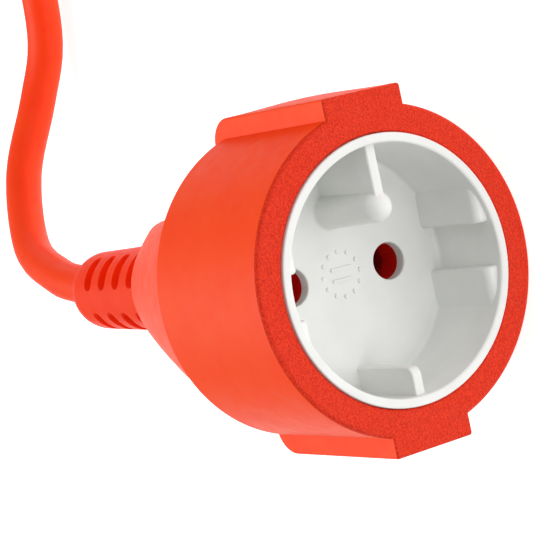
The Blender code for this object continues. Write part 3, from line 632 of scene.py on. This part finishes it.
# ---- Socket ----
def pressed(value, limit, softness):
    """A distance from the middle plane, held back at a limit with a soft shoulder."""
    past = abs(value) - limit
    if past >= softness:
        held = limit
    elif past > -softness:
        held = abs(value) - (past + softness) ** 2 / (4 * softness)
    else:
        held = abs(value)
    return math.copysign(held, value)


def crowned(lug):
    """Raises the middle of a lug's flat top a little, and leaves its edges where they are."""
    half_width = LUG_WIDTH / 2 - LUG_EDGE_ROUND
    length = LUG_LENGTH - LUG_REAR_ROUND - LUG_EDGE_ROUND
    cuts = [((0.0, half_width * i / 5, 0.0), (0.0, 1.0, 0.0)) for i in range(-4, 5)]
    cuts += [((0.0, 0.0, -LUG_EDGE_ROUND - length * i / 10), (0.0, 0.0, 1.0)) for i in range(1, 10)]
    top = LUG_REACH - 0.01 * MM
    for place, way in cuts:
        faces = [face for face in lug.faces if abs(face.calc_center_median().x) > top]
        edges = {edge for face in faces for edge in face.edges}
        verts = {vert for face in faces for vert in face.verts}
        bmesh.ops.bisect_plane(lug, geom=[*verts, *edges, *faces], plane_co=place, plane_no=way)
    for vert in lug.verts:
        across = abs(vert.co.y) / half_width
        along = (-vert.co.z - LUG_EDGE_ROUND) / length
        if abs(vert.co.x) > top and across < 1.0 and 0.0 < along < 1.0:
            rise = LUG_CROWN * (1 - across**2) * math.sin(math.pi * along)
            vert.co.x += math.copysign(rise, vert.co.x)


def make_socket_shell():
    """Drum, lugs and hub in one moulding, hollow in front for the insert and the carrier."""
    shoulder = DRUM_RADIUS - DRUM_FILLET
    hub = []
    for i in range(33):
        share = math.sin(math.pi / 2 * (1 - i / 32))
        swell = (1 - share) ** HUB_BULGE
        depth = DRUM_LENGTH + HUB_STEP + (HUB_END - HUB_END_ROUND - DRUM_LENGTH) * share
        hub.append((HUB_END_RADIUS + (shoulder - HUB_END_RADIUS) * swell, depth))
    fillet = []
    for i in range(13):
        angle = math.pi / 2 * (1 - i / 12)
        fillet.append((shoulder + DRUM_FILLET * math.cos(angle),
                       DRUM_LENGTH - DRUM_FILLET * (1 - math.sin(angle))))
    bore = INSERT_RADIUS + BORE_GAP
    space_front = INSERT_BACK + CARRIER_SPACE_GAP
    space_back = COVER_BACK + CARRIER_SPACE_GAP
    profile = [
        (0.0, HUB_END),
        (HUB_END_RADIUS - HUB_END_ROUND, HUB_END),
        *hub,
        *fillet,
        *arc((DRUM_RADIUS - DRUM_FACE_ROUND, DRUM_FACE_ROUND), DRUM_FACE_ROUND, 0.0, -90.0, 4),
        (bore + BORE_CHAMFER, 0.0),
        (bore, BORE_CHAMFER),
        (bore, space_front),
        (CARRIER_SPACE_RADIUS, space_front),
        (CARRIER_SPACE_RADIUS, space_back),
        (0.0, space_back),
    ]
    bm = spun(profile, 160)
    for vert in bm.verts:
        depth = -vert.co.z
        reach = math.hypot(vert.co.x, vert.co.y)
        if INSERT_BACK < depth < COVER_BACK + 1.0 * MM and reach < CARRIER_SPACE_RADIUS + 0.1 * MM:
            vert.co.x = pressed(vert.co.x, CARRIER_SPACE_HALF_WIDTH, 0.1 * MM)
        elif depth > DRUM_LENGTH + HUB_STEP / 2:
            vert.co.x = pressed(vert.co.x, HUB_HALF_WIDTH, HUB_FLAT_SOFTNESS)
    shell = piece("socket_shell", bm, SOCKET_PLACE, ORANGE_PVC)
    top = LUG_REACH - 0.1 * MM
    inner = LUG_ROOT + 0.1 * MM
    for side in (-1, 1):
        lug = block((side * LUG_ROOT, -LUG_WIDTH / 2, 0.0),
                    (side * LUG_REACH, LUG_WIDTH / 2, LUG_LENGTH))
        rounded(lug, LUG_REAR_ROUND, 10, lambda middle, way: abs(way.y) > 0.9
                and abs(middle.x) > top and middle.z < -LUG_LENGTH / 2)
        rounded(lug, LUG_EDGE_ROUND, 3, lambda middle, way: abs(middle.x) > inner
                and not (abs(way.y) > 0.9 and middle.z < -LUG_LENGTH / 2))
        crowned(lug)
        carved(shell, lug, SOCKET_PLACE, "UNION")
    shell.data.materials.append(GRAINED_PVC)
    for face in shell.data.polygons:
        if face.normal.y < -0.3 and face.center.y < FACE_Y + GRAINED_DEPTH:
            face.material_index = 1
    smoothed(shell, 28.0)
    settle(shell, "orange_pvc", "socket_body")


def insert_cup():
    """The cup's wall, rim and floor."""
    lip = CUP_LIP_ROUND
    edge = CUP_EDGE_ROUND
    foot = CUP_FOOT_ROUND
    profile = [
        (0.0, RECESS_DEPTH),
        *arc((RECESS_RADIUS - foot, RECESS_DEPTH - foot), foot, 90.0, 0.0, 5),
        *arc((RECESS_RADIUS + lip, lip - RIM_PROUD), lip, 180.0, 270.0, 5),
        *arc((INSERT_RADIUS - edge, edge - RIM_PROUD), edge, 270.0, 360.0, 4),
        (INSERT_RADIUS, INSERT_BACK),
        (0.0, INSERT_BACK),
    ]
    return spun(profile, 144)


def insert_guides():
    """Four blocks that close the recess beside the two guide slots."""
    gap = GUIDE_GAP / 2 + 0.1 * MM
    face = GUIDE_FACE + 0.1 * MM
    shapes = []
    for x_side in (-1, 1):
        for y_side in (-1, 1):
            guide = block((x_side * GUIDE_GAP / 2, y_side * GUIDE_FACE, GUIDE_TOP),
                          (x_side * WALL_BITE, y_side * WALL_BITE, FLOOR_BITE))
            rounded(guide, GUIDE_TOP_ROUND, 6, lambda middle, way: abs(way.x) > 0.9
                    and abs(middle.y) < face and middle.z > -RECESS_DEPTH / 2)
            rounded(guide, GUIDE_SLOT_ROUND, 4, lambda middle, way: abs(middle.x) < gap
                    and abs(way.x) < 0.1 and middle.z > -RECESS_DEPTH)
            shapes.append(guide)
    guides = piece("insert_guides", joined(shapes))
    under = FLOOR_BITE + MM
    limit = spun([(0.0, 0.0), (WALL_BITE, 0.0), (WALL_BITE, under), (0.0, under)], 96)
    carved(guides, limit, Matrix(), "INTERSECT")
    bm = bmesh.new()
    bm.from_mesh(guides.data)
    bpy.data.objects.remove(guides, do_unlink=True)
    return bm


def insert_pillar():
    """A tapered pillar with a domed tip and a flared foot."""
    tip = arc((0.0, PILLAR_TIP_RADIUS), PILLAR_TIP_RADIUS, 270.0, 360.0, 12)
    foot = PILLAR_FOOT_ROUND
    flare = arc((PILLAR_BASE_RADIUS + foot, RECESS_DEPTH - foot), foot, 180.0, 90.0, 4)
    bm = spun([(0.0, 0.0), *tip[1:], *flare, (PILLAR_BASE_RADIUS + foot, FLOOR_BITE),
               (0.0, FLOOR_BITE)], 48)
    bmesh.ops.translate(bm, vec=(PILLAR_OFFSET, 0.0, 0.0), verts=bm.verts)
    return bm


def insert_web():
    """The web that ties the pillar to the cup's wall."""
    web = block((PILLAR_OFFSET, -WEB_THICKNESS / 2, WEB_TOP),
                (WALL_BITE, WEB_THICKNESS / 2, FLOOR_BITE))
    return rounded(web, WEB_EDGE_ROUND, 3, lambda middle, way: abs(way.x) > 0.9
                   and middle.z > -RECESS_DEPTH / 2)


def insert_rib():
    """The short rib on the wall across from the web."""
    tip = RIB_REACH - RECESS_RADIUS
    rib = block((-WALL_BITE, -WEB_THICKNESS / 2, RIB_TOP), (tip, WEB_THICKNESS / 2, FLOOR_BITE))
    rounded(rib, RIB_CORNER_ROUND, 6, lambda middle, way: abs(way.y) > 0.9
            and middle.x > tip - 0.1 * MM and middle.z > -RECESS_DEPTH / 2)
    return rounded(rib, RIB_EDGE_ROUND, 3, lambda middle, way: abs(way.y) < 0.5
                   and middle.z > -RECESS_DEPTH and middle.x > 0.1 * MM - WALL_BITE
                   and abs(middle.y) > WEB_THICKNESS / 2 - 0.1 * MM)


def insert_mark():
    """A plain raised cavity mark on the floor: two bars inside a ring of dots."""
    shapes = []
    for side in (-1, 1):
        x = side * MARK_BAR_OFFSET
        shapes.append(block(
            (x - MARK_BAR_HALF_WIDTH, -MARK_BAR_HALF_LENGTH, RECESS_DEPTH - MARK_RISE),
            (x + MARK_BAR_HALF_WIDTH, MARK_BAR_HALF_LENGTH, RECESS_DEPTH + MARK_RISE)))
    for i in range(MARK_DOTS):
        angle = 2 * math.pi * i / MARK_DOTS
        place = Matrix.Translation((MARK_RING_RADIUS * math.cos(angle),
                                    MARK_RING_RADIUS * math.sin(angle), -RECESS_DEPTH))
        dot = bmesh.new()
        bmesh.ops.create_cone(dot, cap_ends=True, segments=16, radius1=0.42 * MM,
                              radius2=0.3 * MM, depth=2 * MARK_RISE, matrix=place)
        shapes.append(dot)
    return joined(shapes)


def on_pin_axis(side, profile, steps):
    """A turned shape on the axis of the pin on the given side."""
    bm = spun(profile, steps)
    bmesh.ops.translate(bm, vec=(0.0, side * PIN_OFFSET, 0.0), verts=bm.verts)
    return bm


def make_socket_insert():
    """The pale cup with all that stands in it, and its two pin holes."""
    insert = piece("socket_cup", insert_cup(), SOCKET_PLACE, PALE_INSERT)
    for shape in (insert_pillar(), insert_web(), insert_rib(), insert_guides(), insert_mark()):
        carved(insert, shape, SOCKET_PLACE, "UNION")
    hole = [
        (0.0, RECESS_DEPTH - PIN_HOLE_CHAMFER),
        (PIN_HOLE_RADIUS + 2 * PIN_HOLE_CHAMFER, RECESS_DEPTH - PIN_HOLE_CHAMFER),
        (PIN_HOLE_RADIUS, RECESS_DEPTH + PIN_HOLE_CHAMFER),
        (PIN_HOLE_RADIUS, INSERT_BACK + MM),
        (0.0, INSERT_BACK + MM),
    ]
    for side in (-1, 1):
        carved(insert, on_pin_axis(side, hole, 64), SOCKET_PLACE)
    smoothed(insert, 30.0)
    settle(insert, "pale_insert", "socket_insert")


def relief_slot(depth, middle_angle):
    """A slot with round ends that runs part of the way round the sleeve."""
    end_radius = SLOT_WIDTH / 2
    half = SLOT_SPAN / 2 * RELIEF_TIP_RADIUS
    columns = [(-half + end_radius * (1 - math.cos(math.pi / 2 * i / 5)),
                end_radius * math.sin(math.pi / 2 * i / 5)) for i in range(1, 6)]
    straight = 2 * (half - end_radius)
    columns += [(-half + end_radius + straight * i / 9, end_radius) for i in range(1, 9)]
    columns += [(-along, reach) for along, reach in reversed(columns[:5])]
    bm = bmesh.new()
    bmesh.ops.create_grid(bm, x_segments=len(columns) - 1, y_segments=1, size=1.0)
    for vert in bm.verts:
        index = round((vert.co.x + 1) / 2 * (len(columns) - 1))
        along, reach = columns[index]
        vert.co = (along, math.copysign(reach, vert.co.y), SLOT_FLOOR)
    grown = bmesh.ops.extrude_face_region(bm, geom=bm.faces[:])
    raised = [part for part in grown["geom"] if isinstance(part, bmesh.types.BMVert)]
    bmesh.ops.translate(bm, vec=(0.0, 0.0, RELIEF_ROOT_RADIUS + MM - SLOT_FLOOR), verts=raised)
    for vert in bm.verts:
        angle = middle_angle + vert.co.x / RELIEF_TIP_RADIUS
        radius = vert.co.z
        vert.co = (radius * math.cos(angle), radius * math.sin(angle), vert.co.y - depth)
    bmesh.ops.recalc_face_normals(bm, faces=bm.faces)
    return bm


def make_relief(name, start, end, place, turn, bend, node_name):
    """A bend sleeve: four rows of slots, a round tip and, on the socket, a slight set sideways."""
    lip = RELIEF_BORE_RADIUS + RELIEF_LIP
    shoulder_depth = end - RELIEF_TIP_ROUND
    profile = []
    for i in range(9):
        share = i / 8
        profile.append((RELIEF_ROOT_RADIUS + (RELIEF_TIP_RADIUS - RELIEF_ROOT_RADIUS) * share,
                        start + (shoulder_depth - start) * share))
    for i in range(1, 13):
        angle = math.pi / 2 * i / 12
        profile.append((lip + (RELIEF_TIP_RADIUS - lip) * math.cos(angle),
                        shoulder_depth + RELIEF_TIP_ROUND * math.sin(angle)))
    profile += [(RELIEF_BORE_RADIUS, end - RELIEF_BORE_INSET), (RELIEF_BORE_RADIUS, start)]
    sleeve = piece(name, spun(profile, 72, ring=True), Matrix(), RELIEF_PVC)
    last = end - SLOT_FROM_TIP
    slots = []
    for ring in range(SLOT_RINGS):
        for row in range(SLOT_ROWS):
            angle = turn + math.pi / 4 + 2 * math.pi * row / SLOT_ROWS
            slots.append(relief_slot(last - ring * SLOT_PITCH, angle))
    carved(sleeve, joined(slots), Matrix())
    for vert in sleeve.data.vertices:
        past = max(0.0, 1 - (end + vert.co.z) / RELIEF_BEND_LENGTH)
        vert.co.x += bend * past**2
    sleeve.data.transform(place)
    smoothed(sleeve, 35.0)
    settle(sleeve, "orange_pvc", node_name)
    return sleeve


# ---- Plug ----
def grip_outline():
    """The plug's side from its face to its end: face band, waist, finger rings and round end."""
    neck = PLUG_LENGTH - PLUG_FACE_LENGTH
    edge = PLUG_FACE_ROUND
    profile = [(0.0, 0.0), *arc((PLUG_RADIUS - edge, edge), edge, 270.0, 360.0, 4)]
    for i in range(13):
        share = i / 12
        drop = (PLUG_RADIUS - PLUG_WAIST_RADIUS) * 0.5 * (1 - math.cos(math.pi * share))
        profile.append((PLUG_RADIUS - drop, PLUG_FACE_LENGTH + neck * PLUG_WAIST_SHARE * share))
    rings_start = PLUG_FACE_LENGTH + neck * PLUG_WAIST_SHARE
    pitch = neck * GRIP_SHARE / GRIP_RINGS
    for i in range(1, 6 * GRIP_RINGS + 1):
        dip = GRIP_DIP * (0.5 - 0.5 * math.cos(math.pi * i / 3))
        profile.append((PLUG_WAIST_RADIUS - dip, rings_start + pitch * i / 6))
    rings_end = rings_start + neck * GRIP_SHARE
    for i in range(1, 13):
        angle = math.pi / 2 * i / 12
        profile.append((PLUG_END_RADIUS + (PLUG_WAIST_RADIUS - PLUG_END_RADIUS) * math.cos(angle),
                        rings_end + neck * PLUG_END_SHARE * math.sin(angle)))
    profile.append((0.0, PLUG_LENGTH))
    return profile


def bridge_plate(front, room=0.0):
    """The pin bridge's long plate with round ends, from a depth to its back, with room about it."""
    plate = block((-BRIDGE_HALF_WIDTH - room, -BRIDGE_HALF_LENGTH - room, front),
                  (BRIDGE_HALF_WIDTH + room, BRIDGE_HALF_LENGTH + room, BRIDGE_BACK + room))
    return rounded(plate, BRIDGE_HALF_WIDTH * BRIDGE_ROUND_SHARE, 10,
                   lambda middle, way: abs(way.z) > 0.9)


def make_plug_body():
    """A waisted grip with two notches, two side flats, finger rings and a pocket for the bridge."""
    body = piece("plug_grip", spun(grip_outline(), 128), PLUG_PLACE, ORANGE_PVC)
    far = 2 * PLUG_RADIUS
    floor = NOTCH_FLOOR + 0.1 * MM
    cuts = []
    for side in (-1, 1):
        notch = block((side * NOTCH_FLOOR, -NOTCH_WIDTH / 2, -MM),
                      (side * far, NOTCH_WIDTH / 2, NOTCH_LENGTH))
        rounded(notch, NOTCH_CORNER_ROUND, 5,
                lambda middle, way: abs(way.z) > 0.9 and abs(middle.x) < floor)
        rounded(notch, NOTCH_END_ROUND, 3, lambda middle, way: abs(middle.x) < far - MM
                and middle.z < -NOTCH_LENGTH + 0.1 * MM)
        cuts.append(notch)
        cuts.append(block((-GUIDE_FACE, side * PLUG_SIDE, -MM),
                          (GUIDE_FACE, side * far, NOTCH_LENGTH)))
    carved(body, joined(cuts), PLUG_PLACE)
    carved(body, bridge_plate(-MM, BRIDGE_ROOM), PLUG_PLACE)
    smoothed(body, 30.0)
    settle(body, "orange_pvc", "plug_body")
    return body


def make_plug_bridge():
    """The pale plate that holds the pins, a little proud of the plug's face."""
    bridge = bridge_plate(-RIM_PROUD)
    rounded(bridge, BRIDGE_EDGE_ROUND, 2, lambda middle, way: middle.z > RIM_PROUD / 2)
    plate = piece("plug_face_plate", bridge, PLUG_PLACE, PALE_INSERT)
    radius = PIN_RADIUS + PIN_HOLE_ROOM
    hole = [(0.0, -MM), (radius, -MM), (radius, BRIDGE_BACK + MM), (0.0, BRIDGE_BACK + MM)]
    for side in (-1, 1):
        carved(plate, on_pin_axis(side, hole, 48), PLUG_PLACE)
    smoothed(plate, 30.0)
    settle(plate, "pale_insert", "plug_bridge")
    return plate


def make_plug_pins():
    """Two solid round pins with domed ends, a collar and a crimp barrel behind the face."""
    collar_front = BRIDGE_BACK + PIN_COLLAR_GAP
    collar_back = collar_front + PIN_COLLAR_LENGTH
    barrel_floor = PIN_BACK - BARREL_BORE_LENGTH
    profile = [
        (0.0, -PIN_LENGTH),
        *arc((0.0, PIN_RADIUS - PIN_LENGTH), PIN_RADIUS, 270.0, 360.0, 10)[1:],
        (PIN_RADIUS, collar_front),
        (PIN_COLLAR_RADIUS, collar_front),
        (PIN_COLLAR_RADIUS, collar_back),
        (BARREL_RADIUS, collar_back),
        (BARREL_RADIUS, PIN_BACK),
        (BARREL_BORE_RADIUS, PIN_BACK),
        (BARREL_BORE_RADIUS, barrel_floor),
        (0.0, barrel_floor),
    ]
    pins = []
    for side, pole in zip((1, -1), POLES):
        turned = on_pin_axis(side, profile, 48)
        pin = piece(f"{pole}_round_pin", turned, PLUG_PLACE, CONTACT_METAL)
        smoothed(pin, 35.0)
        settle(pin, "contact_metal", f"plug_{pole}_pin")
        pins.append(pin)
    return pins


# ---- Coil tie ----
def make_tie():
    """A strap once round the coil's turns."""
    wrap = TIE_THICKNESS / 2
    low_x, high_x = tie_low[0] + wrap, tie_high[0] - wrap
    low_z, high_z = tie_low[2] + wrap, tie_high[2] - wrap
    middle_y = (tie_low[1] + tie_high[1]) / 2
    width = tie_high[1] - tie_low[1]
    corner = TIE_CORNER_ROUND
    corners = (
        (low_x + corner, low_z + corner, 180.0),
        (high_x - corner, low_z + corner, 270.0),
        (high_x - corner, high_z - corner, 0.0),
        (low_x + corner, high_z - corner, 90.0),
    )
    line = []
    for x, z, start in corners:
        for i in range(7):
            angle = math.radians(start + 90.0 * i / 6)
            line.append(Vector((x + corner * math.cos(angle), 0.0, z + corner * math.sin(angle))))
    bm = bmesh.new()
    verts = [bm.verts.new(point + Vector((0.0, middle_y - width / 2, 0.0))) for point in line]
    edges = [bm.edges.new(pair) for pair in zip(verts, verts[1:] + verts[:1])]
    grown = bmesh.ops.extrude_edge_only(bm, edges=edges)
    moved = [part for part in grown["geom"] if isinstance(part, bmesh.types.BMVert)]
    bmesh.ops.translate(bm, verts=moved, vec=(0.0, width, 0.0))
    bmesh.ops.recalc_face_normals(bm, faces=bm.faces)
    strap = piece("coil_strap", bm, Matrix(), TIE_STRAP)
    strap.data.shade_smooth()
    thick = strap.modifiers.new("thickness", "SOLIDIFY")
    thick.thickness = TIE_THICKNESS
    thick.offset = 0.0
    soft = strap.modifiers.new("soft_edge", "BEVEL")
    soft.width = TIE_EDGE_ROUND
    soft.segments = 2
    soft.limit_method = "ANGLE"
    soft.angle_limit = math.radians(50.0)
    settle(strap, "coil_tie", "coil_tie")
    return strap


# ---- CAD nodes that keep their shape ----
def dress_inner_nodes():
    """Materials of the CAD nodes inside the two connectors."""
    looks = {
        "contact_carrier": RED_CARRIER,
        "carrier_back_cover": RED_CARRIER,
        "socket_sheath_tail": CORD_SHEATH,
        "plug_sheath_tail": CORD_SHEATH,
    }
    for pole, core in zip(POLES, (BROWN_CORE, BLUE_CORE)):
        looks[f"{pole}_contact_base"] = CONTACT_METAL
        looks[f"{pole}_jaw_left"] = CONTACT_METAL
        looks[f"{pole}_jaw_right"] = CONTACT_METAL
        for end in ("socket", "plug"):
            looks[f"{end}_{pole}_core"] = core
            looks[f"{end}_{pole}_strand"] = COPPER_STRAND
    for name, look in looks.items():
        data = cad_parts[name].data
        data.materials.clear()
        data.materials.append(look)


make_camera()
cord = make_cord()
make_light_and_floor()
make_socket_shell()
make_socket_insert()
make_relief("socket_bend_sleeve", RELIEF_START, RELIEF_END, SOCKET_PLACE, RELIEF_TURN, RELIEF_BEND,
            "socket_strain_relief")
plug_grip = make_plug_body()
plug_sleeve = make_relief("plug_bend_sleeve", PLUG_RELIEF_START, PLUG_RELIEF_END, PLUG_PLACE,
                          0.0, 0.0, "plug_strain_relief")
plug_plate = make_plug_bridge()
plug_pins = make_plug_pins()
strap = make_tie()
dress_inner_nodes()
